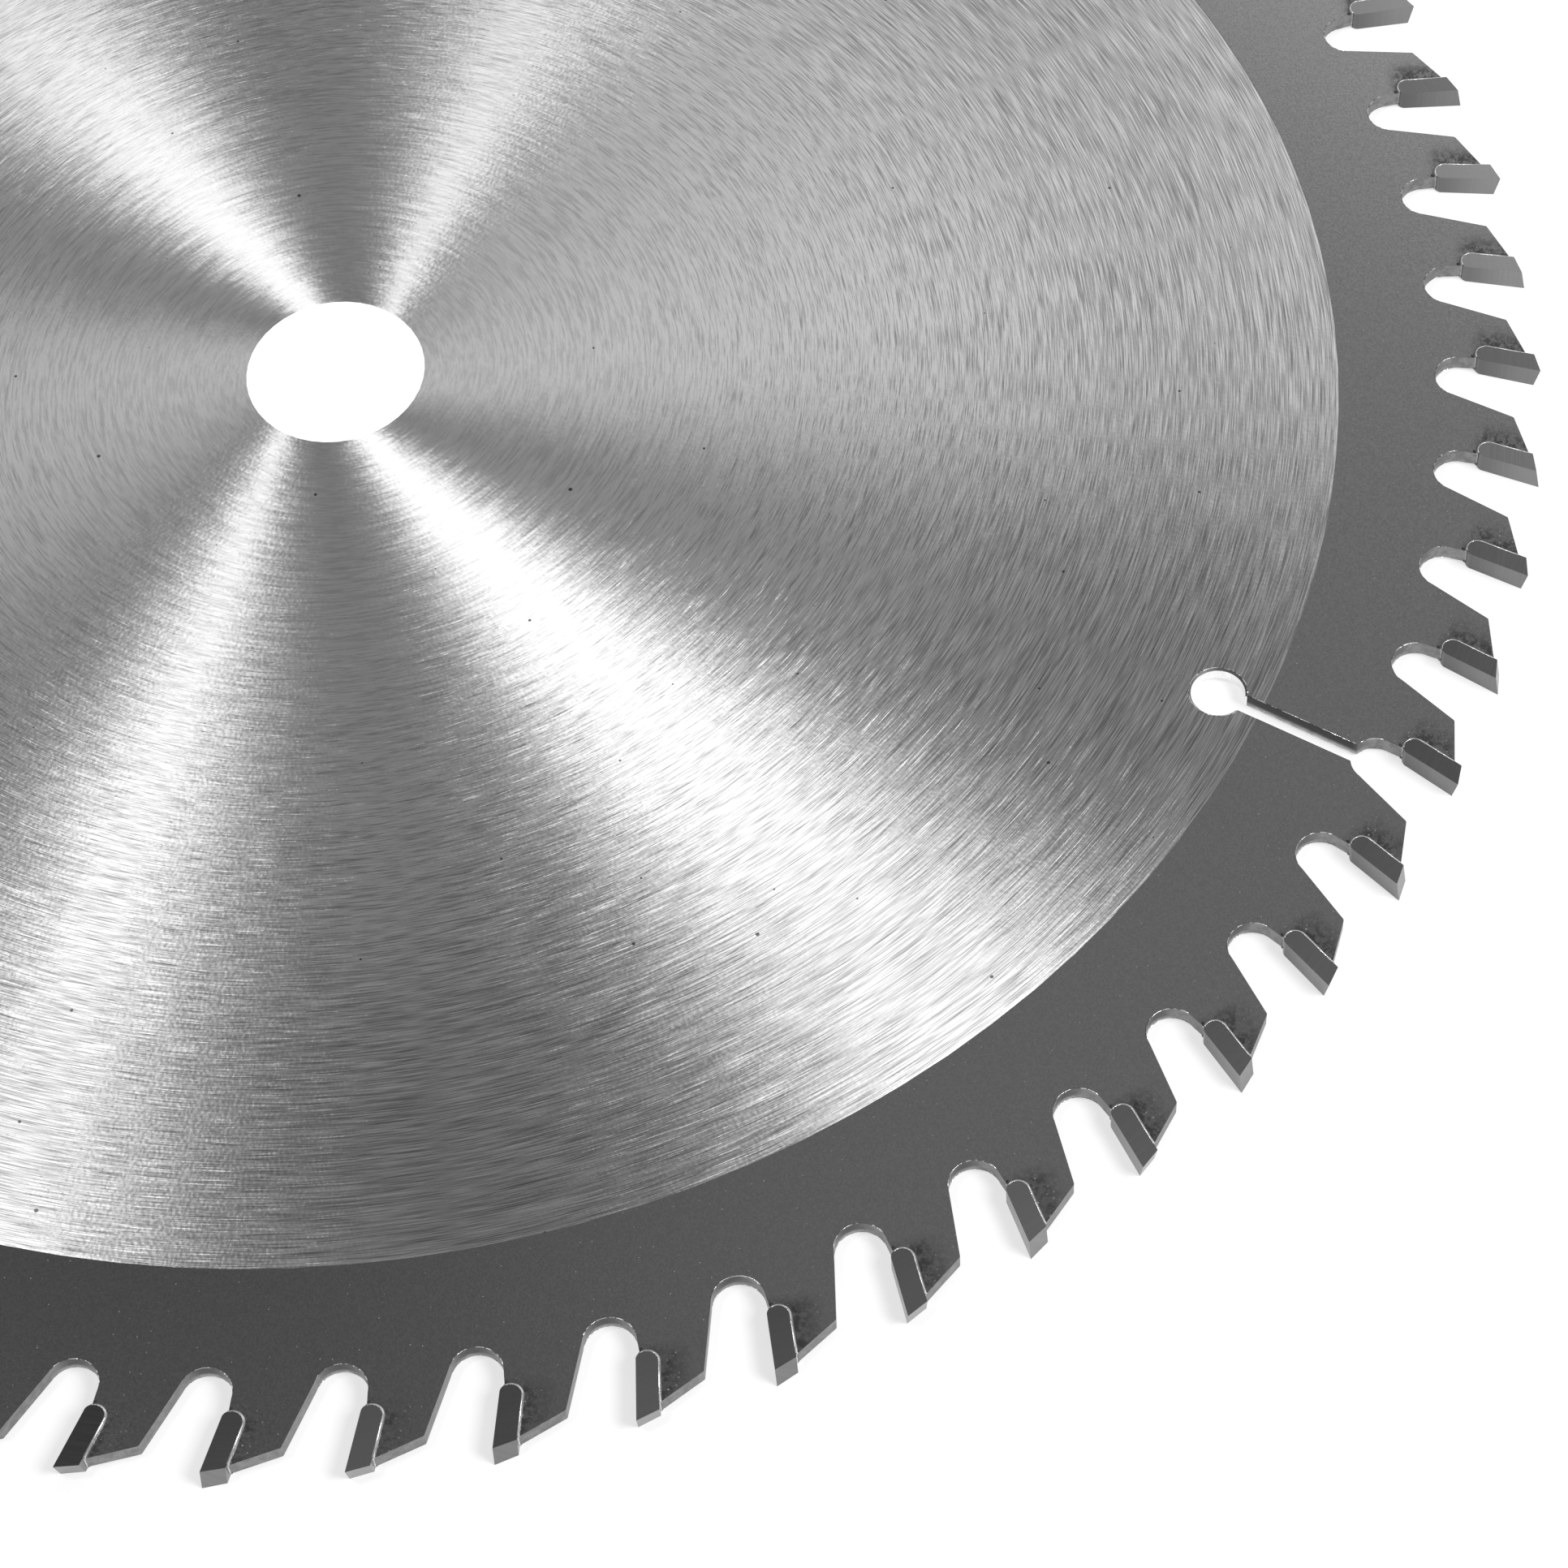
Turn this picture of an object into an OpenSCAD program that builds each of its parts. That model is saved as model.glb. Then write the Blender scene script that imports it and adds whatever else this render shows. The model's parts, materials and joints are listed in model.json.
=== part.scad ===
// Circular saw blade: a flat steel plate with a carbide tip brazed into each tooth.
// It lies flat, with its bore along Z and its middle plane at Z = 0. Seen from +Z it cuts clockwise.

/* [Plate] */
// Cutting diameter over the tips
outer_d = 400; // [360:1:460]
// Thickness of the plate at its rim
plate_t = 2.8; // [2:0.1:3.2]
// Diameter of the bore
bore_d = 30; // [20:0.1:60]
// Diameter of the ground centre on each face
ground_d = 334; // [200:1:350]
// Depth of the grinding on each face
ground_depth = 0.05; // [0.02:0.01:0.2]

/* [Teeth] */
// Number of teeth, even because their bevels alternate
teeth = 60; // [48:2:66]
// Lean of the cutting face from the radius
hook_angle = 14; // [8:0.5:20]
// Fall of the steel behind a tip, from the tangent at its cutting point
back_angle = 21.5; // [16:0.5:26]
// Lean of a tooth's rear flank from its radius
flank_angle = 20.3; // [14:0.1:26]
// Rounding of the heel, where the back of a tooth meets its rear flank
heel_r = 0.8; // [0.3:0.1:1.5]

/* [Gullets] */
// Depth of a gullet below the cutting circle
gullet_depth = 17.2; // [16:0.1:20]
// Radius of a gullet's round bottom
gullet_r = 4; // [3:0.1:4.6]
// Lead of a gullet's centre on the cutting point
gullet_lead = 0.6; // [0:0.1:1.2]
// Lean of a tooth's front, between its gullet and its tip
front_angle = 4; // [0:0.5:8]

/* [Tips] */
// Width of the cut, across the sides of a tip at its cutting point
kerf = 4; // [3.6:0.1:5]
// Length of a tip along its cutting face
tip_len = 11; // [9:0.1:12]
// Thickness of a tip behind its cutting face
tip_t = 3.3; // [3.1:0.1:4]
// Rounding of a tip's inner end at its back
tip_back_r = 1.7; // [0.5:0.1:1.8]
// Rounding of a tip's inner end at its cutting face
tip_front_r = 1.5; // [0.5:0.1:1.6]
// Bevel of a tip's top across the kerf
bevel_angle = 10; // [5:0.5:15]
// Fall of a tip's top behind its cutting edge
relief_angle = 12; // [8:0.5:16]
// Taper of a tip's sides towards its back
side_relief = 2; // [0.5:0.5:3]
// Taper of a tip's sides towards the bore
radial_relief = 1; // [0.5:0.25:1.5]
// Drop from the cutting point to the steel behind a tip, along the tip
seat_drop = 3; // [2.8:0.1:4]
// Thickness of the braze between a tip and its seat
braze_t = 0.15; // [0.1:0.05:0.3]

/* [Expansion slots] */
// Number of slots
slots = 4; // [2:1:6]
// Tooth that the first slot lies in front of
first_slot = 12; // [0:1:14]
// Width of a slot
slot_w = 3.2; // [1.5:0.1:4]
// Lean of a slot from the radius
slot_lean = 4.5; // [0:0.5:6]
// Diameter of the circle that the slots' round ends lie on
keyhole_circle_d = 319; // [280:1:330]
// Diameter of a slot's round end
keyhole_d = 8.6; // [5:0.1:12]
// Lag of a slot's round end behind the cutting point
keyhole_lag = 1.1; // [0:0.1:2]
// Chamfer round the edges of a slot's round end
keyhole_chamfer = 0.3; // [0.1:0.1:0.6]

/* [Hidden] */
$fn = 96;
// How far a cut reaches past what it cuts
over = 1;
// How far a round overlaps the straight edges that it joins, so that they cross and don't just touch
lap = 0.03;
outer_r = outer_d / 2;
// Radius that clears the blanks the tips are cut from
clear_r = outer_r + tip_t + 2 * over;
pitch = 360 / teeth;
pairs = teeth / 2;
ground_z = plate_t / 2 - ground_depth;

// A tooth is worked out with its cutting point on +X. It moves towards -Y as it cuts.
// Directions outwards along the tooth's front and its rear flank, and back along its rear fall
front_dir = [cos(front_angle), -sin(front_angle)];
flank_dir = [cos(flank_angle), -sin(flank_angle)];
fall_dir = [-sin(back_angle), cos(back_angle)];

// Centres of the gullets ahead of a tooth and behind it, and where its front and its flank leave them
gullet_c = [outer_r - gullet_depth + gullet_r, -gullet_lead];
rear_gullet_c = turned(gullet_c, pitch);
foot_r = gullet_r - lap;
front_foot = gullet_c + foot_r * [sin(front_angle), cos(front_angle)];
flank_foot = rear_gullet_c - foot_r * [sin(flank_angle), cos(flank_angle)];

// Where the steel ends against the back of the tip, and the heel where its fall meets the rear flank
fall_start = on_tip([-seat_drop, tip_t + braze_t]);
heel = crossing(flank_foot, flank_dir, fall_start, fall_dir);

// Rounding of the heel: half the angle of the corner, its way out, the arc's centre and the arc's ends
heel_half = acos(flank_dir * fall_dir) / 2;
heel_out = unit(flank_dir + fall_dir);
heel_c = heel - heel_r / sin(heel_half) * heel_out;
heel_ends = [for (dir = [flank_dir, fall_dir]) heel - heel_r / tan(heel_half) * dir];

// Rounding of a tip's inner end at its cutting face, in the room that the rounding at its back leaves
tip_nose_r = min(tip_front_r, tip_t - tip_back_r);

tip_nodes = [for (i = [1 : pairs]) str("tip_pair_", i < 10 ? "0" : "", i)];
braze_nodes = [for (i = [1 : slots]) str("braze_sector_", i)];

// Point p turned by angle a about the bore
function turned(p, a) = [p.x * cos(a) - p.y * sin(a), p.x * sin(a) + p.y * cos(a)];

// Point p of a tip's own frame, which runs outwards along its cutting face and back through its thickness
function on_tip(p) = [outer_r, 0] + turned(p, -hook_angle);

// Direction v at length one
function unit(v) = v / norm(v);

// Where the line through p along u crosses the line through q along v
function crossing(p, u, q, v) = p + u * cross(q - p, v) / cross(u, v);

// Where the line through p along u runs out past the tips
function run_out(p, u) = p + u * (clear_r - p.x) / u.x;

// First tooth in front of slot sector i, counted from 0
function sector_start(i) = round(i * teeth / slots);

// What a round of radius r takes off a square corner at the origin, which points towards -X and +Y
module corner_waste(r) {
    difference() {
        translate([-over, -r])
            square(r + over);
        translate([r, -r])
            circle(r + lap);
    }
}

// Side outline of a tip, grown by the braze for its seat, and open past the cutting circle
module tip_outline(grow) {
    end = -tip_len - grow;
    back = tip_t + grow;
    translate([outer_r, 0])
        rotate(-hook_angle)
            difference() {
                translate([end, 0])
                    square([over - end, back]);
                translate([end, back])
                    corner_waste(tip_back_r + grow);
                translate([end, 0])
                    mirror([0, 1])
                        corner_waste(tip_nose_r + grow);
            }
}

// Open space ahead of a tooth: round bottom, tooth front and the next tooth's rear flank
module gullet() {
    next_foot = turned(flank_foot, -pitch);
    next_dir = turned(flank_dir, -pitch);
    translate(gullet_c)
        circle(gullet_r);
    polygon([front_foot, run_out(front_foot, front_dir), run_out(next_foot, next_dir), next_foot]);
}

// Open space above the back of a tooth, down to its rounded heel
module fall() {
    start = fall_start - tip_t / 2 * fall_dir;
    end = heel + over * fall_dir;
    polygon([start, end, [clear_r, end.y], [clear_r, start.y]]);
    difference() {
        polygon([heel + over * heel_out, heel_ends[0], heel_c, heel_ends[1]]);
        translate(heel_c)
            circle(heel_r + lap);
    }
}

// Expansion slot, from its round end to the gullet ahead of a tooth
module slot() {
    start = keyhole_place();
    translate(start)
        circle(d = keyhole_d);
    translate(start)
        rotate(-slot_lean)
            translate([0, -slot_w / 2])
                square([(gullet_c.x - start.x) / cos(slot_lean), slot_w]);
}

function keyhole_place() = [keyhole_circle_d / 2, keyhole_lag];

// Children at each slot's place
module each_slot() {
    for (i = [0 : slots - 1])
        rotate((first_slot + sector_start(i)) * pitch)
            children();
}

// Outline of the plate
module plate_outline() {
    difference() {
        circle(outer_r);
        circle(d = bore_d);
        for (i = [0 : teeth - 1])
            rotate(i * pitch) {
                gullet();
                fall();
                tip_outline(braze_t);
            }
        each_slot()
            slot();
    }
}

// Steel plate, ground bright inside a dark rim on both faces
module blade_body() {
    difference() {
        color("dimgray")
            linear_extrude(plate_t, center = true)
                plate_outline();
        color("silver")
            for (side = [0, 1])
                mirror([0, 0, side]) {
                    translate([0, 0, ground_z])
                        cylinder(h = over, d = ground_d);
                    each_slot()
                        translate([keyhole_place().x, keyhole_place().y, ground_z - keyhole_chamfer])
                            cylinder(
                                h = keyhole_chamfer + over,
                                r1 = keyhole_d / 2,
                                r2 = keyhole_d / 2 + keyhole_chamfer + over
                            );
                }
    }
}

// Carbide tip, with the long corner of its bevel on the upper side (1) or the lower side (-1)
module tip(long_side) {
    reach = 2 * tip_len;
    color("slategray")
        difference() {
            linear_extrude(kerf, center = true)
                tip_outline(0);
            translate([outer_r, 0, long_side * kerf / 2])
                rotate([0, long_side * bevel_angle, relief_angle])
                    translate([0, -reach / 2, -reach / 2])
                        cube(reach);
            for (side = [0, 1])
                mirror([0, 0, side])
                    translate([outer_r, 0, kerf / 2])
                        rotate(-hook_angle)
                            rotate([-side_relief, -radial_relief, 0])
                                translate([-reach, -reach / 2, 0])
                                    cube(2 * reach);
        }
}

// Two neighbouring tips, one of each bevel
module tip_pair(i) {
    rotate(2 * i * pitch)
        tip(-1);
    rotate((2 * i + 1) * pitch)
        tip(1);
}

// Layer of braze round the back and the inner end of one tip
module braze() {
    color("gainsboro")
        linear_extrude(plate_t, center = true)
            difference() {
                tip_outline(braze_t);
                tip_outline(0);
                gullet();
                fall();
            }
}

// Braze of every tip between two slots
module braze_sector(i) {
    for (k = [sector_start(i) : sector_start(i + 1) - 1])
        rotate((first_slot + 1 + k) * pitch)
            braze();
}

blade_body();
for (i = [0 : pairs - 1])
    tip_pair(i);
for (i = [0 : slots - 1])
    braze_sector(i);
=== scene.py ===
"""Looks of a circular saw blade: a plate with a circular-ground centre and a darker satin rim, and ground
carbide tips that are brazed into its teeth. Lengths are in metres, and the blade lies flat with its bore
along Z."""
import json
import math

import bmesh
import bpy
from mathutils import Matrix, Vector


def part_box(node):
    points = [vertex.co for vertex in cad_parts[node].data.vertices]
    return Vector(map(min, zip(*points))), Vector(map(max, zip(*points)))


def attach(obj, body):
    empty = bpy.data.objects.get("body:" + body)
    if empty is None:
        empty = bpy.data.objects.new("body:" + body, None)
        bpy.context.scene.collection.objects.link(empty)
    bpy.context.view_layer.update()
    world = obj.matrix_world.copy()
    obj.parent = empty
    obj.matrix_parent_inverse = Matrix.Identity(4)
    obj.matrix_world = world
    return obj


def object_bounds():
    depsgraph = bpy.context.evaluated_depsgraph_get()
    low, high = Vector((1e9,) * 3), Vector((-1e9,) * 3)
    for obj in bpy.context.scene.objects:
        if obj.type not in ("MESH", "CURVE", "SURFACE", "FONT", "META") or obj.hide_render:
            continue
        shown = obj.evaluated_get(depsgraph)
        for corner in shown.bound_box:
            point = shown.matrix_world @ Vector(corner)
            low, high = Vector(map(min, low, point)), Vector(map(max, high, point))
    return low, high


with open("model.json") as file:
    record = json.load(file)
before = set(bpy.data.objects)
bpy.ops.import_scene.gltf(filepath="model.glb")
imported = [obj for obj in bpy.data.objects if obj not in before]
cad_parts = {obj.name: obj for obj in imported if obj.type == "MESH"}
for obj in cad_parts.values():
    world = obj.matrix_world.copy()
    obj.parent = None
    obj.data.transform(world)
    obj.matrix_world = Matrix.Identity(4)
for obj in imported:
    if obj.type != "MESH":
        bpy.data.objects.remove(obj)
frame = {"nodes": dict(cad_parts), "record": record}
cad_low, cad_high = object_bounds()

MM = 0.001

# Sizes of the blade, as the frame has them
plate = frame["nodes"]["blade_body"]
tips = [ob for name, ob in frame["nodes"].items() if name.startswith("tip_pair")]
braze = [ob for name, ob in frame["nodes"].items() if name.startswith("braze")]
teeth = 2 * len(tips)
pitch = math.tau / teeth
outer_r = cad_high.x
plate_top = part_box("blade_body")[1].z
bore = next(m for m in frame["record"]["mounts"] if m["name"] == "arbor_bore")
ground_top = bore["dims"]["length_mm"] * MM / 2
same_height = 0.01 * MM
ground_r = max(v.co.xy.length for v in plate.data.vertices if abs(v.co.z - ground_top) < same_height)

# Least upward part of a normal that faces up or down
facing_up = 0.9

# Tip in its own frame: outwards along its cutting face from the cutting point, and back through its thickness
hook_angle = math.radians(14)
tip_length = 11 * MM
tip_thickness = 3.3 * MM
tip_back_round = 1.7 * MM
tip_nose_round = 1.5 * MM
tip_bare = 3 * MM
side_relief = math.radians(2)
radial_relief = math.radians(1)

# Gullet ahead of the tooth on +X. Its centre lies inside the cutting circle and ahead of the cutting point
gullet_inside = 13.2 * MM
gullet_lead = 0.6 * MM
gullet_centre = Vector((outer_r - gullet_inside, -gullet_lead, 0))
gullet_round = 4 * MM

# Expansion slot in the same frame. Its straight edge starts off the edge of its round end's chamfer
slot_teeth = (12, 27, 42, 57)
slot_lean = math.radians(-4.5)
slot_width = 3.2 * MM
slot_edge_start = 4.4 * MM
slot_edge_length = 18.8 * MM
keyhole_centre = Vector((159.5 * MM, 1.1 * MM, 0))
keyhole_edge = 4.6 * MM

# Camera, as the photograph was taken
camera_place = Vector((163.51, -424.47, 551.4)) * MM
camera_aim = Vector((86.63, -73.17, 1.4)) * MM
camera_roll = math.radians(-4.87)
camera_lens = 96.81

# Softboxes: azimuth and height over the floor in degrees, width, height, and radiance
light_distance = 1.5
softboxes = {
    "right_softbox": (-18.0, 45.0, 0.60, 0.58, 14.0),
    "left_softbox": (-154.0, 69.0, 0.25, 0.20, 26.0),
    "back_softbox": (67.0, 25.0, 1.45, 1.05, 1.5),
    "top_softbox": (80.0, 60.0, 0.60, 0.90, 0.28),
}
fill = 0.165


def put(tree, kind, values=None, **settings):
    """A new node of this kind, with its settings, and its inputs set to values or linked to sockets."""
    made = tree.nodes.new(kind)
    for name, value in settings.items():
        setattr(made, name, value)
    for name, value in (values or {}).items():
        if isinstance(value, bpy.types.NodeSocket):
            tree.links.new(value, made.inputs[name])
        else:
            made.inputs[name].default_value = value
    return made


def sums(tree, operation, *values):
    """The result of a Math node."""
    return put(tree, "ShaderNodeMath", dict(enumerate(values)), operation=operation).outputs[0]


def spread(tree, value, low, high, to_low=0.0, to_high=1.0):
    """A value's smooth passage from low to high, as one from to_low to to_high."""
    values = {"Value": value, "From Min": low, "From Max": high, "To Min": to_low, "To Max": to_high}
    return put(tree, "ShaderNodeMapRange", values, interpolation_type="SMOOTHSTEP").outputs[0]


def mixed(tree, share, first, second):
    """Two numbers, mixed by share."""
    return put(tree, "ShaderNodeMix", {0: share, 2: first, 3: second}, data_type="FLOAT").outputs[0]


def blended(tree, share, first, second):
    """Two colours, mixed by share. A grey is given as one number."""
    made = put(tree, "ShaderNodeMix", {0: share}, data_type="RGBA")
    for socket, value in ((made.inputs[6], first), (made.inputs[7], second)):
        if isinstance(value, bpy.types.NodeSocket):
            tree.links.new(value, socket)
        else:
            socket.default_value = (value, value, value, 1)
    return made.outputs[2]


def as_grey(tree, value):
    """A number as a grey."""
    return put(tree, "ShaderNodeCombineColor", {0: value, 1: value, 2: value}).outputs[0]


def new_group(name, inputs, outputs):
    """An empty shader node group with float inputs, given with their usual values, and float outputs."""
    tree = bpy.data.node_groups.new(name, "ShaderNodeTree")
    for label, usual in inputs.items():
        tree.interface.new_socket(label, in_out="INPUT", socket_type="NodeSocketFloat").default_value = usual
    for label in outputs:
        tree.interface.new_socket(label, in_out="OUTPUT", socket_type="NodeSocketFloat")
    return tree, tree.nodes.new("NodeGroupInput").outputs, tree.nodes.new("NodeGroupOutput").inputs


def use(tree, group, **values):
    """A group placed in a material. Returns its outputs."""
    named = {name.replace("_", " ").capitalize(): value for name, value in values.items()}
    return put(tree, "ShaderNodeGroup", named, node_tree=group).outputs


def in_millimetres(tree):
    """The place on the blade, in millimetres, as a vector and as its three parts."""
    place = put(tree, "ShaderNodeTexCoord").outputs["Object"]
    scaled = put(tree, "ShaderNodeVectorMath", {0: place, "Scale": 1 / MM}, operation="SCALE").outputs[0]
    return scaled, put(tree, "ShaderNodeSeparateXYZ", {0: scaled}).outputs


def flat_place(tree):
    """The place on the blade's middle plane, in millimetres."""
    _, (x, y, _) = in_millimetres(tree)
    return put(tree, "ShaderNodeCombineXYZ", {"X": x, "Y": y}).outputs[0]


def radius_on_disc(tree):
    """Distance from the blade's axis, in millimetres."""
    return put(tree, "ShaderNodeVectorMath", {0: flat_place(tree)}, operation="LENGTH").outputs["Value"]


def nearest_tip(tree):
    """Angle about the bore, and the number of the tip there. A tip's pitch begins a little ahead of its
    cutting point."""
    share_ahead = 0.15
    _, (x, y, _) = in_millimetres(tree)
    angle = sums(tree, "ARCTAN2", y, x)
    pitches = sums(tree, "DIVIDE", angle, pitch)
    return angle, sums(tree, "FLOOR", sums(tree, "ADD", pitches, share_ahead))


def place_by_tip(tree):
    """Place in the frame of the nearest tip, outwards and back from its cutting point, in millimetres."""
    angle, number = nearest_tip(tree)
    turn = sums(tree, "SUBTRACT", hook_angle, sums(tree, "MULTIPLY", number, pitch))
    within = sums(tree, "ADD", angle, turn)
    radius = radius_on_disc(tree)
    outwards = sums(tree, "MULTIPLY", radius, sums(tree, "COSINE", within))
    backwards = sums(tree, "MULTIPLY", radius, sums(tree, "SINE", within))
    point_r = outer_r / MM
    outwards = sums(tree, "SUBTRACT", outwards, point_r * math.cos(hook_angle))
    backwards = sums(tree, "SUBTRACT", backwards, point_r * math.sin(hook_angle))
    return outwards, backwards


def noise_round_bore(tree, length, width, seed):
    """Noise drawn out round the bore, and read from a ring so that it has no seam. Length is its size at the
    ring's radius, and both sizes are in millimetres."""
    ring_r = 100.0
    seed_step = 1000.0
    around = put(tree, "ShaderNodeVectorMath", {0: flat_place(tree)}, operation="NORMALIZE").outputs[0]
    around = put(tree, "ShaderNodeVectorMath", {0: around, "Scale": ring_r}, operation="SCALE").outputs[0]
    ring_x, ring_y, _ = put(tree, "ShaderNodeSeparateXYZ", {0: around}).outputs
    height = sums(tree, "MULTIPLY", radius_on_disc(tree), sums(tree, "DIVIDE", length, width))
    height = sums(tree, "ADD", height, sums(tree, "MULTIPLY", seed, seed_step))
    ring = put(tree, "ShaderNodeCombineXYZ", {"X": ring_x, "Y": ring_y, "Z": height}).outputs[0]
    values = {"Vector": ring, "Scale": sums(tree, "DIVIDE", 1.0, length), "Detail": 2.0, "Roughness": 0.6}
    return put(tree, "ShaderNodeTexNoise", values).outputs["Fac"]


def grinding_lines_group():
    """Lines round the bore, from 0 to 1, with both sizes in millimetres."""
    darkest, lightest = 0.25, 0.75
    tree, given, out = new_group("grinding lines", {"Length": 6.0, "Width": 0.2, "Seed": 0.0}, ["Lines"])
    lines = noise_round_bore(tree, given["Length"], given["Width"], given["Seed"])
    tree.links.new(spread(tree, lines, darkest, lightest), out["Lines"])
    return tree


def specks_group():
    """Round specks, one in a share of the cells, with both sizes in millimetres."""
    smallest = 0.4
    rim, core = 0.6, 0.35
    tree, given, out = new_group("specks", {"Spacing": 3.0, "Size": 0.2, "Share": 0.5}, ["Mask"])
    place, _ = in_millimetres(tree)
    values = {"Vector": place, "Scale": sums(tree, "DIVIDE", 1.0, given["Spacing"])}
    cells = put(tree, "ShaderNodeTexVoronoi", values, voronoi_dimensions="2D")
    chance = put(tree, "ShaderNodeSeparateColor", {0: cells.outputs["Color"]}).outputs
    reach = sums(tree, "MULTIPLY", cells.outputs["Distance"], given["Spacing"])
    size = sums(tree, "MULTIPLY", given["Size"], sums(tree, "ADD", smallest, chance[1]))
    round_mask = spread(tree, sums(tree, "DIVIDE", reach, size), rim, core)
    kept = sums(tree, "LESS_THAN", chance[0], given["Share"])
    tree.links.new(sums(tree, "MULTIPLY", round_mask, kept), out["Mask"])
    return tree


def blotches_group():
    """Uneven patches, from 0 to 1, whose size is in millimetres."""
    darkest, lightest = 0.32, 0.68
    tree, given, out = new_group("blotches", {"Size": 2.0, "Seed": 0.0}, ["Mask"])
    place, _ = in_millimetres(tree)
    values = {"Vector": place, "W": given["Seed"], "Scale": sums(tree, "DIVIDE", 1.0, given["Size"])}
    values.update({"Detail": 4.0, "Roughness": 0.65})
    noise = put(tree, "ShaderNodeTexNoise", values, noise_dimensions="4D").outputs["Fac"]
    tree.links.new(spread(tree, noise, darkest, lightest), out["Mask"])
    return tree


grinding_lines = grinding_lines_group()
specks = specks_group()
blotches = blotches_group()


def new_material(name):
    """An empty node material with its tree and its output."""
    material = bpy.data.materials.new(name)
    material.use_nodes = True
    material.node_tree.nodes.clear()
    tree = material.node_tree
    return material, tree, put(tree, "ShaderNodeOutputMaterial").inputs["Surface"]


def principled(tree, surface, values):
    """Gives a material a Principled shader with these values."""
    shader = put(tree, "ShaderNodeBsdfPrincipled", values)
    tree.links.new(shader.outputs[0], surface)


def bumped(tree, height, depth, normal=None):
    """The normal that a height map gives, with its depth in millimetres, on top of another normal."""
    values = {"Height": height, "Distance": depth * MM}
    if normal:
        values["Normal"] = normal
    return put(tree, "ShaderNodeBump", values).outputs[0]


def grinding_direction(tree):
    """Direction of the grinding lines: round the bore, and winding slowly in towards it. Bundles of lines
    stray a little, and a few single lines stray far, so that they are dark in the sheen and bright beside
    it."""
    winding = 4.8
    middle = 0.5
    sharpness = 3.0
    farthest = 0.2
    _, (x, y, _) = in_millimetres(tree)
    radius = radius_on_disc(tree)
    inwards = sums(tree, "DIVIDE", -winding, radius)
    bundles = sums(tree, "SUBTRACT", noise_round_bore(tree, length=18.0, width=0.5, seed=12.0), middle)
    bundles_stray = spread(tree, radius, 30.0, 120.0, 0.28, 0.05)
    inwards = sums(tree, "MULTIPLY_ADD", bundles, bundles_stray, inwards)
    single = sums(tree, "SUBTRACT", noise_round_bore(tree, length=5.5, width=0.12, seed=8.0), middle)
    single_strays = spread(tree, radius, 30.0, 100.0, 4.0, 40.0)
    single = sums(tree, "MULTIPLY", sums(tree, "POWER", single, sharpness), single_strays)
    single = sums(tree, "MINIMUM", sums(tree, "MAXIMUM", single, -farthest), farthest)
    inwards = sums(tree, "ADD", inwards, single)
    along_x = sums(tree, "SUBTRACT", sums(tree, "MULTIPLY", x, inwards), y)
    along_y = sums(tree, "ADD", sums(tree, "MULTIPLY", y, inwards), x)
    along = put(tree, "ShaderNodeCombineXYZ", {"X": along_x, "Y": along_y}).outputs[0]
    return put(tree, "ShaderNodeVectorMath", {0: along}, operation="NORMALIZE").outputs[0]


def ground_steel():
    """Bright centre of the plate, ground in circles: narrow lines, and a sheen that runs outwards from the
    bore. It darkens outwards, and ends in a thin bright edge that is a painted highlight."""
    material, tree, surface = new_material("ground_steel")
    by_bore, by_edge = 15.0, ground_r / MM
    middle = 0.5
    usual_tone, spot_grey = 0.95, 0.15
    radius = radius_on_disc(tree)
    place, _ = in_millimetres(tree)
    fine = use(tree, grinding_lines, length=5.0, width=0.15)["Lines"]
    broad = use(tree, grinding_lines, length=14.0, width=0.5, seed=3.0)["Lines"]
    lines = mixed(tree, spread(tree, radius, by_bore, 110.0, 0.2, 0.9), broad, fine)
    depth = spread(tree, radius, by_bore, 100.0, 0.25, 1.1)
    relief = sums(tree, "MULTIPLY_ADD", sums(tree, "SUBTRACT", lines, middle), depth, usual_tone)
    # painted highlight: the colour is lighter in a thin band at the ground area's edge
    painted_edge_highlight = spread(tree, radius, by_edge - 0.6, by_edge - 0.2, 0.0, 0.2)
    tone = sums(tree, "ADD", spread(tree, radius, 80.0, 150.0, 0.96, 0.69), painted_edge_highlight)
    tone = sums(tree, "MINIMUM", sums(tree, "MULTIPLY", tone, relief), 1.0)
    spots = use(tree, specks, spacing=20.0, size=0.5, share=0.4)["Mask"]
    finer_outwards = spread(tree, radius, 40.0, 165.0, 1.0, 0.92)
    grain = put(tree, "ShaderNodeTexNoise", {"Vector": place, "Scale": 1.8, "Detail": 0.0}).outputs["Fac"]
    principled(tree, surface, {
        "Base Color": blended(tree, spots, tone, spot_grey),
        "Metallic": 1.0,
        "Roughness": sums(tree, "MULTIPLY", spread(tree, lines, 0.0, 1.0, 0.45, 0.41), finer_outwards),
        "Anisotropic": 0.98,
        "Anisotropic Rotation": 0.25,
        "Tangent": grinding_direction(tree),
        "Normal": bumped(tree, grain, 0.014, bumped(tree, lines, 0.005)),
    })
    return material


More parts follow.
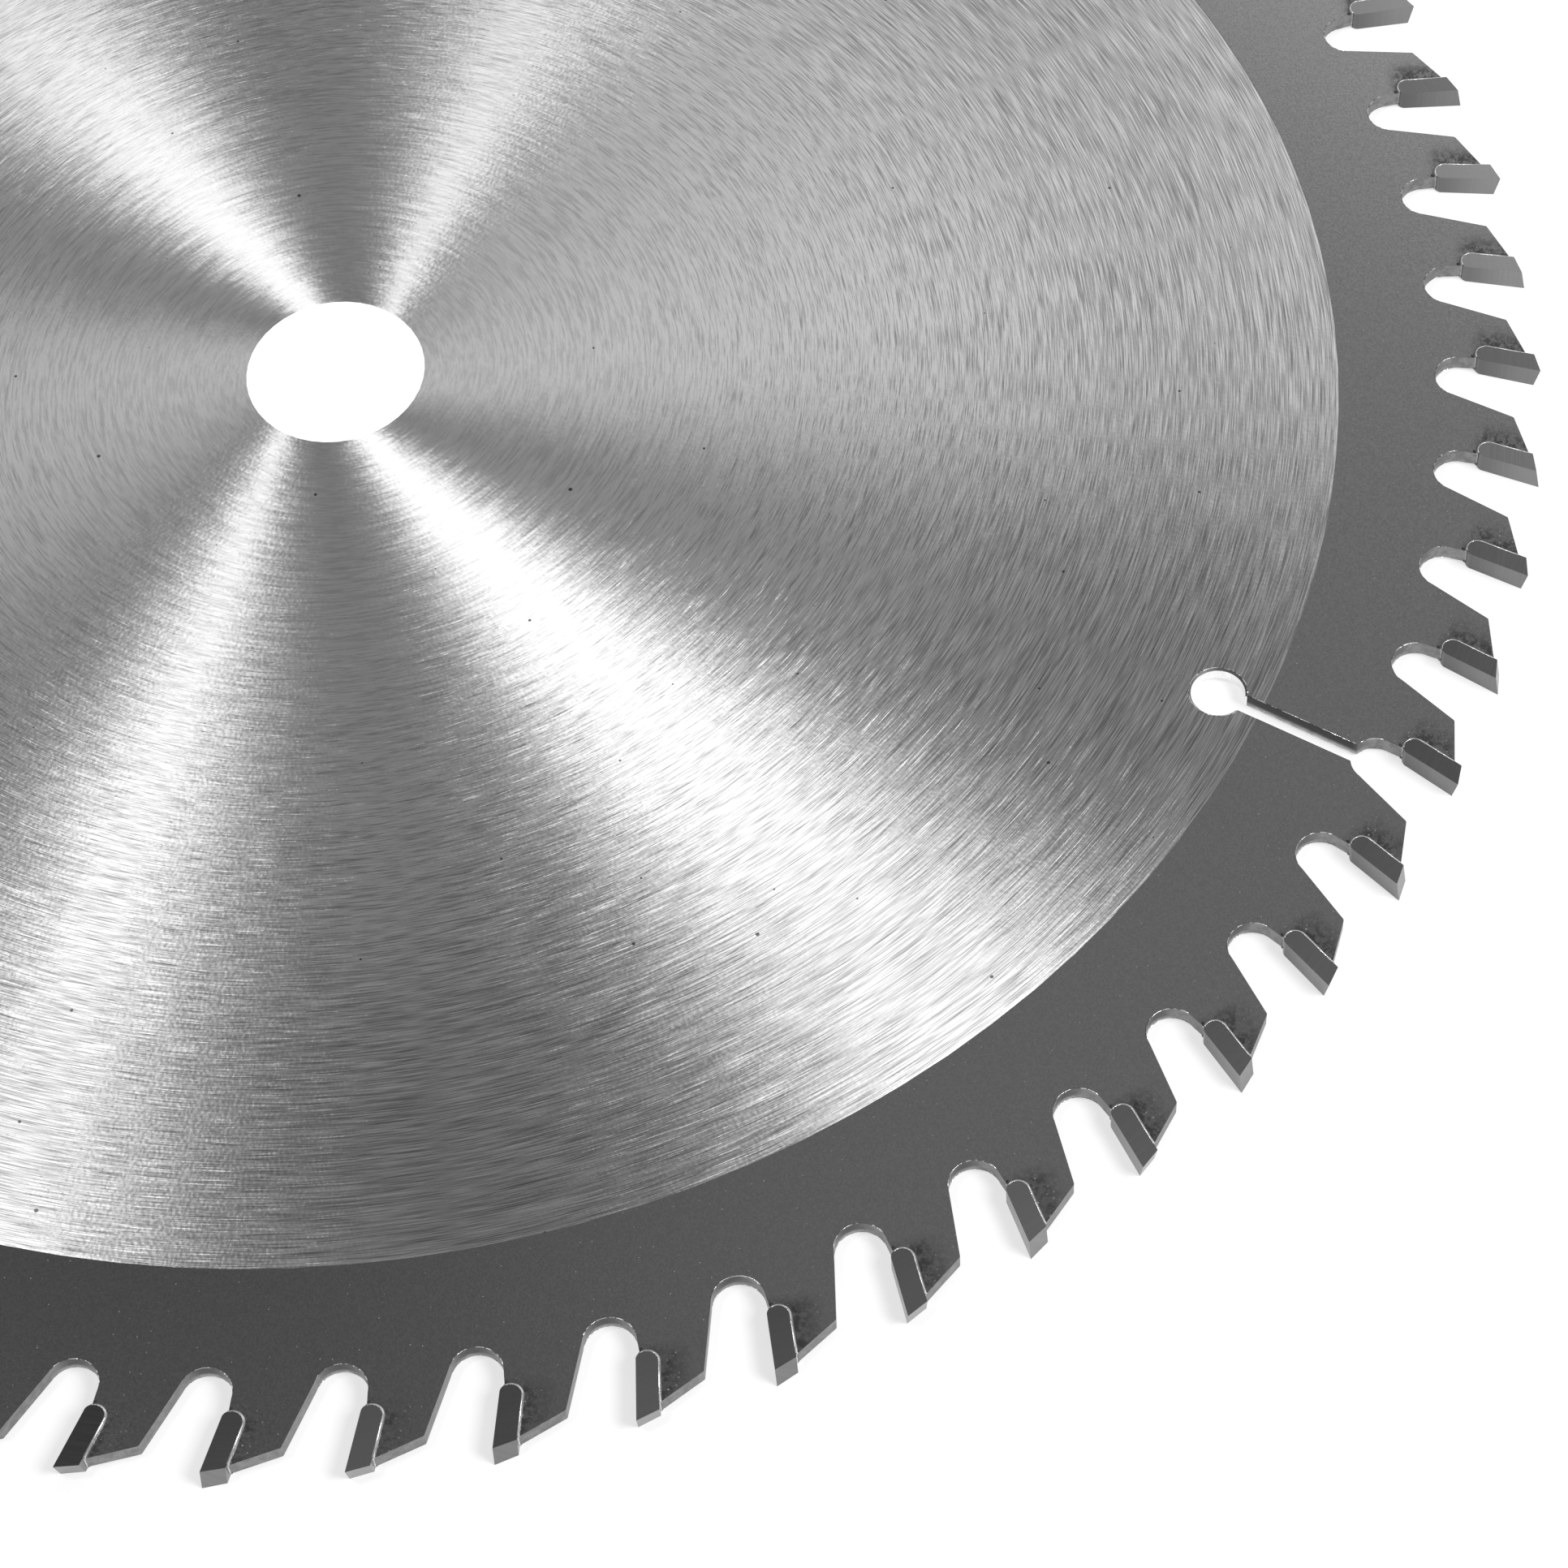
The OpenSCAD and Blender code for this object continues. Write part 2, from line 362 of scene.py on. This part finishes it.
def rim_steel():
    """Satin rim of the plate: fine grain, pale dust, and a dark, flaked heat stain behind each tip. Close
    behind the tip it is also painted shade beside the braze seam.
    """
    material, tree, surface = new_material("rim_steel")
    stain_and_shade_grey, pale_grey = 0.07, 0.26
    grain_share = 0.2
    outwards, backwards = place_by_tip(tree)
    # heat stain behind each tip, and painted shade: darkest close behind the tip's back, beside the braze
    # seam
    heat_stain_and_painted_shade = sums(tree, "MULTIPLY", spread(tree, backwards, 9.0, 4.0), spread(tree, outwards, -13.0, -10.0))
    patches = use(tree, blotches, size=0.9)["Mask"]
    stain_and_painted_shade = sums(tree, "MULTIPLY", heat_stain_and_painted_shade, spread(tree, patches, 0.1, 0.9, 0.3, 1.0))
    grain = use(tree, blotches, size=0.3, seed=5.0)["Mask"]
    dust = use(tree, specks, spacing=1.8, size=0.15, share=0.18)["Mask"]
    flakes = use(tree, specks, spacing=1.0, size=0.22, share=0.25)["Mask"]
    pale = sums(tree, "MAXIMUM", dust, sums(tree, "MULTIPLY", flakes, heat_stain_and_painted_shade))
    grey = blended(tree, stain_and_painted_shade, spread(tree, grain, 0.0, 1.0, 0.235, 0.28), stain_and_shade_grey)
    uneven = sums(tree, "ADD", stain_and_painted_shade, sums(tree, "MULTIPLY", grain, grain_share))
    principled(tree, surface, {
        "Base Color": blended(tree, pale, grey, pale_grey),
        "Metallic": sums(tree, "SUBTRACT", 1.0, pale),
        "Roughness": spread(tree, uneven, 0.0, 1.0 + grain_share, 0.24, 0.45),
        "Normal": bumped(tree, grain, 0.003),
    })
    return material


def cut_steel():
    """Cut walls of the teeth, the gullets and the slots. A slot's walls are dark near their upper edge and
    lighter towards their lower edge, a painted reflection of the floor.
    """
    material, tree, surface = new_material("cut_steel")
    gullet_grey = 0.24
    _, (_, _, height) = in_millimetres(tree)
    # painted reflection of the floor: a slot wall's colour lightens towards its lower edge
    slot_painted_reflection_grey = spread(tree, height, -1.4, -0.1, 0.45, 0.05)
    in_gullet = spread(tree, radius_on_disc(tree), 182.0, 185.0)
    patches = use(tree, blotches, size=1.2, seed=9.0)["Mask"]
    grey = mixed(tree, in_gullet, slot_painted_reflection_grey, gullet_grey)
    grey = sums(tree, "MULTIPLY", grey, spread(tree, patches, 0.0, 1.0, 0.75, 1.25))
    principled(tree, surface, {
        "Base Color": as_grey(tree, grey),
        "Metallic": 1.0,
        "Roughness": spread(tree, patches, 0.0, 1.0, 0.36, 0.5),
        "Normal": bumped(tree, patches, 0.01),
    })
    return material


def bored_steel():
    """Smooth walls of the bore and of the slots' round ends, whose upper chamfer is dark and rougher."""
    material, tree, surface = new_material("bored_steel")
    dark_grey, rougher = 0.22, 0.3
    _, (_, _, height) = in_millimetres(tree)
    off_bore = spread(tree, radius_on_disc(tree), 100.0, 110.0)
    dark = sums(tree, "MULTIPLY", spread(tree, height, 0.8, 1.05), off_bore)
    patches = use(tree, blotches, size=1.0, seed=1.0)["Mask"]
    principled(tree, surface, {
        "Base Color": blended(tree, dark, blended(tree, patches, 0.95, 0.85), dark_grey),
        "Metallic": 1.0,
        "Roughness": sums(tree, "MULTIPLY_ADD", dark, rougher, spread(tree, patches, 0.0, 1.0, 0.2, 0.32)),
    })
    return material


def burr_steel():
    """Bright torn edge of a cut, broken into dashes."""
    material, tree, surface = new_material("burr_steel")
    patches = use(tree, blotches, size=0.9, seed=3.0)["Mask"]
    principled(tree, surface, {
        "Base Color": blended(tree, spread(tree, patches, 0.35, 0.65), 0.15, 0.95),
        "Metallic": 1.0,
        "Roughness": spread(tree, patches, 0.0, 1.0, 0.45, 0.25),
    })
    return material


def carbide(name, darkest, range_of_shades, inner, outer):
    """Ground carbide of the tips, with faint lines. Its shade changes from tip to tip, and by the factors
    inner and outer along a tip, which are painted light and shade."""
    material, tree, surface = new_material(name)
    faint = 0.02
    inner_end, outer_end = -11.0, -2.0
    lines = use(tree, grinding_lines, length=4.0, width=0.15, seed=7.0)["Lines"]
    outwards, _ = place_by_tip(tree)
    _, number = nearest_tip(tree)
    drawn = put(tree, "ShaderNodeTexWhiteNoise", {"W": number}, noise_dimensions="1D").outputs["Value"]
    shade = sums(tree, "MULTIPLY_ADD", lines, faint, darkest)
    shade = sums(tree, "MULTIPLY_ADD", drawn, range_of_shades, shade)
    # painted light and shade: the colour is scaled from inner to outer along the tip
    shade = sums(tree, "MULTIPLY", shade, spread(tree, outwards, inner_end, outer_end, inner, outer))
    principled(tree, surface, {
        "Base Color": as_grey(tree, shade),
        "Metallic": 1.0,
        "Roughness": spread(tree, lines, 0.0, 1.0, 0.22, 0.26),
    })
    return material


def silver_braze():
    """Pale braze, uneven where it has run."""
    material, tree, surface = new_material("silver_braze")
    patches = use(tree, blotches, size=0.7, seed=4.0)["Mask"]
    principled(tree, surface, {
        "Base Color": blended(tree, patches, 0.85, 0.55),
        "Metallic": 0.8,
        "Roughness": spread(tree, patches, 0.0, 1.0, 0.25, 0.4),
        "Normal": bumped(tree, patches, 0.02),
    })
    return material


def flux():
    """Dark glassy flux that is left beside a tip."""
    material, tree, surface = new_material("flux")
    patches = use(tree, blotches, size=0.3, seed=6.0)["Mask"]
    principled(tree, surface, {
        "Base Color": blended(tree, patches, 0.01, 0.04),
        "Roughness": spread(tree, patches, 0.0, 1.0, 0.4, 0.7),
        "Normal": bumped(tree, patches, 0.03),
    })
    return material


def dress_plate():
    """Gives each face of the plate the finish that its place has."""
    mesh = plate.data
    mesh.materials.clear()
    for finish in (ground_steel(), rim_steel(), cut_steel(), bored_steel()):
        mesh.materials.append(finish)
    ground, rim, cut, bored = range(4)
    keyhole_end = keyhole_centre.x + keyhole_edge
    for face in mesh.polygons:
        if abs(face.normal.z) > facing_up:
            face.material_index = ground if abs(face.center.z) < (plate_top + ground_top) / 2 else rim
        else:
            face.material_index = bored if face.center.xy.length < keyhole_end else cut


def dress_tips():
    """Gives the tips a darker colour on their sides than on their faces, which is painted shade."""
    # painted shade: the sides get a darker carbide than the faces, and the faces grow lighter towards the
    # point
    lit_and_shaded_carbide = (
        carbide("carbide_sides_painted_shade", 0.115, 0.12, inner=1.0, outer=1.1),
        carbide("carbide_faces_painted_light", 0.15, 0.05, inner=0.8, outer=1.25),
    )
    sides, faces = range(2)
    for ob in tips:
        ob.data.materials.clear()
        for finish in lit_and_shaded_carbide:
            ob.data.materials.append(finish)
        for face in ob.data.polygons:
            face.material_index = sides if abs(face.normal.z) > facing_up else faces


def dress_braze(finish):
    """Gives the braze under the tips its finish."""
    for ob in braze:
        ob.data.materials.clear()
        ob.data.materials.append(finish)


braze_finish = silver_braze()
dress_plate()
dress_tips()
dress_braze(braze_finish)


def on_tooth(shape):
    """Moves a shape from a tip's own frame, with its cutting point at the origin, to the tooth on +X."""
    place = Matrix.Translation((outer_r, 0, 0)) @ Matrix.Rotation(-hook_angle, 4, "Z")
    bmesh.ops.transform(shape, matrix=place, verts=shape.verts)


def parts_of(shape, kind):
    """The vertices or the faces among some parts of a bmesh."""
    return [part for part in shape if isinstance(part, kind)]


def repeated(shape, turns):
    """Adds a shape's like on the other side of the plate, and repeats both at these turns about the bore."""
    other = bmesh.ops.duplicate(shape, geom=shape.verts[:] + shape.edges[:] + shape.faces[:])["geom"]
    bmesh.ops.scale(shape, vec=(1, 1, -1), verts=parts_of(other, bmesh.types.BMVert))
    bmesh.ops.reverse_faces(shape, faces=parts_of(other, bmesh.types.BMFace))
    first = shape.verts[:] + shape.edges[:] + shape.faces[:]
    for turn in turns[1:]:
        copy = bmesh.ops.duplicate(shape, geom=first)["geom"]
        way = Matrix.Rotation(turn - turns[0], 3, "Z")
        bmesh.ops.rotate(shape, matrix=way, verts=parts_of(copy, bmesh.types.BMVert))
    bmesh.ops.rotate(shape, matrix=Matrix.Rotation(turns[0], 3, "Z"), verts=shape.verts)


def finished(name, shape, material):
    """Makes a shape an object of the blade."""
    mesh = bpy.data.meshes.new(name)
    shape.to_mesh(mesh)
    shape.free()
    mesh.materials.append(material)
    mesh.shade_smooth()
    ob = bpy.data.objects.new(name, mesh)
    bpy.context.scene.collection.objects.link(ob)
    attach(ob, "root")


def run_on(shape, faces, way):
    """Carries the end face of a bead straight on. Returns its new end."""
    end = bmesh.ops.extrude_face_region(shape, geom=faces)["geom"]
    bmesh.ops.translate(shape, vec=way, verts=parts_of(end, bmesh.types.BMVert))
    return end


def bend_on(shape, end, centre, degrees, steps):
    """Carries the end of a bead on round a centre. Returns its new end."""
    turn = math.radians(degrees)
    return bmesh.ops.spin(shape, geom=end, cent=centre, axis=(0, 0, 1), angle=turn, steps=steps)["geom_last"]


all_teeth = [k * pitch for k in range(teeth)]


def braze_seams():
    """Bead of braze over each tip's edge and down to the plate, along the tip's back and round its inner
    end."""
    shape = bmesh.new()
    # corners from the foot in the plate up to a round over the tip's edge: how far each lies behind the tip,
    # and its height, which is counted from the tip's side above the foot
    foot = plate_top - 0.04 * MM
    section = [
        (-0.05 * MM, foot), (0.36 * MM, foot), (0.20 * MM, -0.20 * MM),
        (0.09 * MM, -0.05 * MM), (0.0, 0.0), (-0.10 * MM, 0.012 * MM),
    ]
    points = [Vector((-tip_bare, tip_thickness + behind, up)) for behind, up in section]
    end = [shape.faces.new([shape.verts.new(point) for point in points])]
    end = run_on(shape, end, (tip_bare + tip_back_round - tip_length, 0, 0))
    back_centre = (tip_back_round - tip_length, tip_thickness - tip_back_round, 0)
    end = bend_on(shape, end, back_centre, degrees=90, steps=8)
    bend_on(shape, end, (tip_nose_round - tip_length, tip_nose_round, 0), degrees=42, steps=4)
    # a tip's sides fall away towards its back and towards the bore
    side = Matrix.Identity(4)
    side[2][0], side[2][1], side[2][3] = math.tan(radial_relief), -math.tan(side_relief), cad_high.z
    bmesh.ops.transform(shape, matrix=side, verts=[v for v in shape.verts if v.co.z < foot / 2])
    bmesh.ops.recalc_face_normals(shape, faces=shape.faces)
    on_tooth(shape)
    repeated(shape, all_teeth)
    finished("braze_seams", shape, braze_finish)


def flux_beads():
    """Bead of flux at the inner end of each tip, where the tooth's front meets it."""
    shape = bmesh.new()
    flattened = (1.1, 0.75, 0.35)
    place = (-tip_length - 0.25 * MM, 0.85 * MM, plate_top - 0.02 * MM)
    bmesh.ops.create_icosphere(shape, subdivisions=2, radius=0.42 * MM)
    bmesh.ops.scale(shape, vec=flattened, verts=shape.verts)
    bmesh.ops.translate(shape, vec=place, verts=shape.verts)
    on_tooth(shape)
    repeated(shape, all_teeth)
    finished("flux_beads", shape, flux())


def bead_section(shape, edge, outside):
    """Small four-sided section of a burr at a plate's edge. The plate lies on the outside."""
    thick = 0.06 * MM
    corners = [(-0.5, -0.3), (0.3, -1.0), (2.0, -0.2), (0.2, 0.8)]
    points = [edge + thick * (out * outside + Vector((0, 0, up))) for out, up in corners]
    return [shape.faces.new([shape.verts.new(point) for point in points])]


def burr_on_round(shape, centre, radius, height, first, last):
    """Burr on a round edge, from the first angle to the last, both in degrees."""
    step = 10
    out = Matrix.Rotation(math.radians(first), 3, "Z") @ Vector((1, 0, 0))
    end = bead_section(shape, centre + radius * out + Vector((0, 0, height)), out)
    bend_on(shape, end, centre, last - first, steps=round((last - first) / step))


def gullet_burrs(finish):
    """Burrs along the round bottoms of the gullets that no slot opens into."""
    shape = bmesh.new()
    burr_on_round(shape, gullet_centre, gullet_round, plate_top, first=95, last=240)
    bmesh.ops.recalc_face_normals(shape, faces=shape.faces)
    repeated(shape, [k * pitch for k in range(teeth) if k not in slot_teeth])
    finished("gullet_burrs", shape, finish)


def slot_burrs(finish):
    """Burrs along the edge of each slot, round its round end, and beside its mouth in the gullet."""
    shape = bmesh.new()
    edge = Vector((slot_edge_start, slot_width / 2, plate_top))
    run_on(shape, bead_section(shape, edge, Vector((0, 1, 0))), (slot_edge_length, 0, 0))
    place = Matrix.Translation(keyhole_centre) @ Matrix.Rotation(slot_lean, 4, "Z")
    bmesh.ops.transform(shape, matrix=place, verts=shape.verts)
    burr_on_round(shape, keyhole_centre, keyhole_edge, ground_top, first=18, last=333)
    burr_on_round(shape, gullet_centre, gullet_round, plate_top, first=95, last=157)
    bmesh.ops.recalc_face_normals(shape, faces=shape.faces)
    repeated(shape, [tooth * pitch for tooth in slot_teeth])
    finished("slot_burrs", shape, finish)


braze_seams()
flux_beads()
burr_finish = burr_steel()
gullet_burrs(burr_finish)
slot_burrs(burr_finish)


def white_paper():
    """White floor. What is seen of it, straight or mirrored, is lifted to white: fully far off and under the
    bore, and less round the blade, so that its shadow stays. Under the bore the lift is painted light over
    the blade's shadow."""
    material, tree, surface = new_material("white_paper")
    full_lift, lift_by_blade = 0.95, 0.62
    paper_grey = 0.45
    path = put(tree, "ShaderNodeLightPath").outputs
    mirrored = sums(tree, "MAXIMUM", path["Is Glossy Ray"], path["Is Transmission Ray"])
    seen = sums(tree, "MAXIMUM", path["Is Camera Ray"], mirrored)
    place = put(tree, "ShaderNodeTexCoord").outputs["Object"]
    distance = put(tree, "ShaderNodeVectorMath", {0: place}, operation="LENGTH").outputs["Value"]
    far_off = spread(tree, distance, 0.4, 2.0, lift_by_blade, full_lift)
    # painted light: the lift is full under the bore, over the shadow that the blade casts there
    painted_light_under_bore = spread(tree, distance, 0.1, 0.05, 0.0, full_lift)
    lift = sums(tree, "MAXIMUM", far_off, painted_light_under_bore)
    glow = put(tree, "ShaderNodeEmission", {"Strength": sums(tree, "MULTIPLY", seen, lift)})
    paper = put(tree, "ShaderNodeBsdfDiffuse", {"Color": (paper_grey, paper_grey, paper_grey, 1)})
    both = put(tree, "ShaderNodeAddShader", {0: paper.outputs[0], 1: glow.outputs[0]})
    tree.links.new(both.outputs[0], surface)
    return material


def floor():
    """Wide round floor under the tips."""
    shape = bmesh.new()
    bmesh.ops.create_circle(shape, cap_ends=True, radius=12.0, segments=96)
    bmesh.ops.translate(shape, verts=shape.verts, vec=(0, 0, cad_low.z))
    mesh = bpy.data.meshes.new("floor")
    shape.to_mesh(mesh)
    shape.free()
    mesh.materials.append(white_paper())
    ob = bpy.data.objects.new("floor", mesh)
    bpy.context.scene.collection.objects.link(ob)


def direction(azimuth, height):
    """The way towards an azimuth and a height over the floor, both in degrees."""
    a, h = math.radians(azimuth), math.radians(height)
    return Vector((math.cos(h) * math.cos(a), math.cos(h) * math.sin(a), math.sin(h)))


def lights():
    """Softboxes to the right and the left, which make the sheens, a wide one low behind the blade, a faint
    one above it, and an even fill."""
    for name, (azimuth, height, wide, tall, radiance) in softboxes.items():
        lamp = bpy.data.lights.new(name, "AREA")
        lamp.shape = "RECTANGLE"
        lamp.size, lamp.size_y = wide, tall
        lamp.energy = radiance * math.pi * wide * tall
        ob = bpy.data.objects.new(name, lamp)
        way = direction(azimuth, height)
        ob.location = way * light_distance
        ob.rotation_euler = (-way).to_track_quat("-Z", "Y").to_euler()
        bpy.context.scene.collection.objects.link(ob)
    world = bpy.data.worlds.new("studio")
    world.use_nodes = True
    world.node_tree.nodes["Background"].inputs["Color"].default_value = (fill, fill, fill, 1)
    bpy.context.scene.world = world


def camera():
    """Camera at the photograph's place."""
    data = bpy.data.cameras.new("camera")
    data.lens = camera_lens
    data.clip_start, data.clip_end = 0.01, 100
    ob = bpy.data.objects.new("camera", data)
    ob.location = camera_place
    level = (camera_aim - camera_place).to_track_quat("-Z", "Y")
    ob.rotation_euler = (level.to_matrix() @ Matrix.Rotation(camera_roll, 3, "Z")).to_euler()
    bpy.context.scene.collection.objects.link(ob)
    bpy.context.scene.camera = ob


floor()
lights()
camera()
bpy.context.scene.view_settings.view_transform = "Standard"
